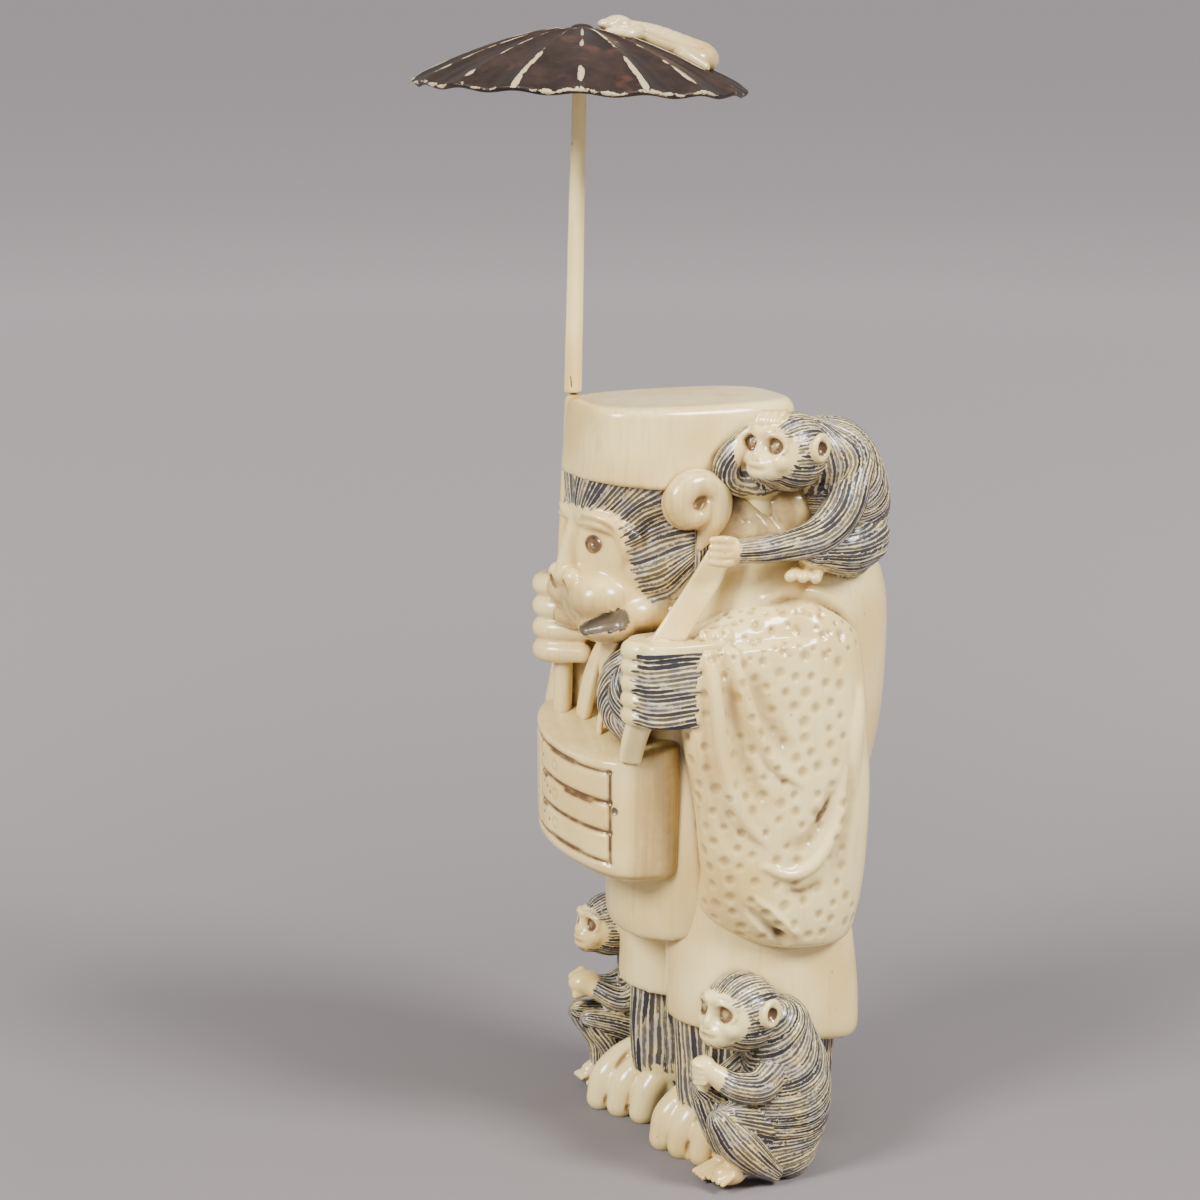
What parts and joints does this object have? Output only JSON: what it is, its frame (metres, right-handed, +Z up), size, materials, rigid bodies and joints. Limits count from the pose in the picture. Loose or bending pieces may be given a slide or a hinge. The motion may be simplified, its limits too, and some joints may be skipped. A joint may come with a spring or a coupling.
{
  "type": "netsuke",
  "caption": "Carved ivory-coloured figure of a robed monkey pedlar in a tall cap, holding a parasol, with a slung chest of drawers and small monkeys on shoulder, feet and canopy.",
  "frame": {"origin": "middle of the box that the whole carving fills, at the level of the soles", "axes": "+Z up, the pedlar faces -Y, its left side is at +X"},
  "size_m": [0.0636, 0.0736, 0.1805],
  "materials": {
    "ivory": "polished ivory, warm cream, honey stain in the recesses, blue-black ink in the hair strokes",
    "lacquered_canopy": "dark red-brown stain worn to pale ribs and rim chips",
    "pale_ivory": "unstained pale ivory with a tan bloom"
  },
  "bodies": {
    "root": {"monkey_figure": "ivory", "parasol_pole": "ivory", "parasol_canopy": "lacquered_canopy", "canopy_monkey": "pale_ivory"}
  },
  "joints": []
}
